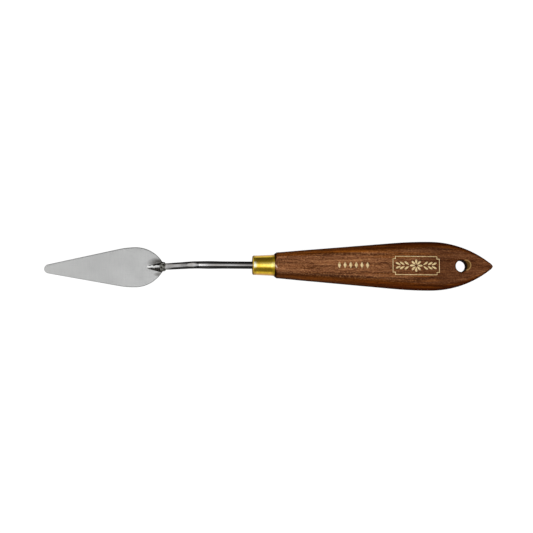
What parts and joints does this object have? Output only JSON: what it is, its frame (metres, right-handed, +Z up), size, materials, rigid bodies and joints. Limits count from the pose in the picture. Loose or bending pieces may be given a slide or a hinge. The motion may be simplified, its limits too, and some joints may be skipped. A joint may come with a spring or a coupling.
{
  "type": "palette knife",
  "caption": "Painting knife: trowel-shaped steel blade that springs, cranked steel shank, brass ferrule and lacquered wooden handle with a hanging hole.",
  "frame": {"origin": "under the middle of the whole knife, on the surface it lies on", "axes": "+X along the knife towards the handle's butt, blade at -X; +Z up, square to the table; +Y to the left when looking along +X"},
  "size_m": [0.202, 0.022, 0.0138],
  "materials": {
    "blade_steel": "satin, finely ground",
    "shank_steel": "polished, drawn rod",
    "weld_metal": "dark, rough bead",
    "ferrule_brass": "bright, turned",
    "handle_wood": "dark brown, satin lacquer"
  },
  "bodies": {
    "grip": {"handle": "handle_wood", "ferrule": "ferrule_brass", "shank": "shank_steel", "neck_weld": "weld_metal"},
    "blade": {"blade": "blade_steel"}
  },
  "joints": [
    {"name": "blade_flex", "type": "hinge", "parent": "grip", "child": "blade", "pos_m": [-0.0615, 0, 0.00025], "axis": [0, 1, 0], "range_deg": [-18, 18], "stiffness_Nm_per_rad": 0.45, "deforming": ["blade"]}
  ]
}
